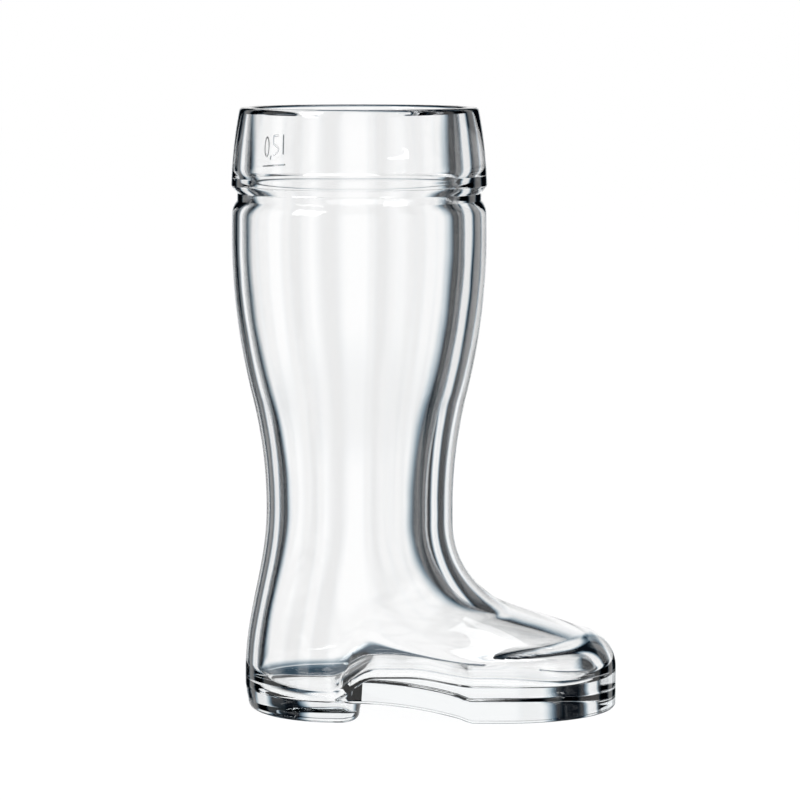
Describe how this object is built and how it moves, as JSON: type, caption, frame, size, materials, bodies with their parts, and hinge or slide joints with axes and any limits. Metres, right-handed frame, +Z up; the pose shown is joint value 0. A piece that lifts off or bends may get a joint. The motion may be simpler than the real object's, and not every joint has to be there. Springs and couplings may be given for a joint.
{
  "type": "beer boot glass",
  "caption": "Boot-shaped half-litre beer glass of clear pressed glass with a flared drinking collar, heel and flat fore sole.",
  "frame": {"origin": "on the floor plane, under the middle of the glass's bounding box", "axes": "+Z up through the mouth, +X towards the toe, +Y to the boot's left side"},
  "size_m": [0.1248, 0.0824, 0.195],
  "materials": {
    "clear_glass": "clear soda-lime glass, pressed and blown, fire-polished"
  },
  "bodies": {
    "root": {"cuff": "clear_glass", "leg": "clear_glass", "foot": "clear_glass", "sole": "clear_glass", "heel": "clear_glass", "fill_line": "clear_glass", "mark_nought": "clear_glass", "mark_comma": "clear_glass", "mark_five": "clear_glass", "mark_litre": "clear_glass"}
  },
  "joints": []
}
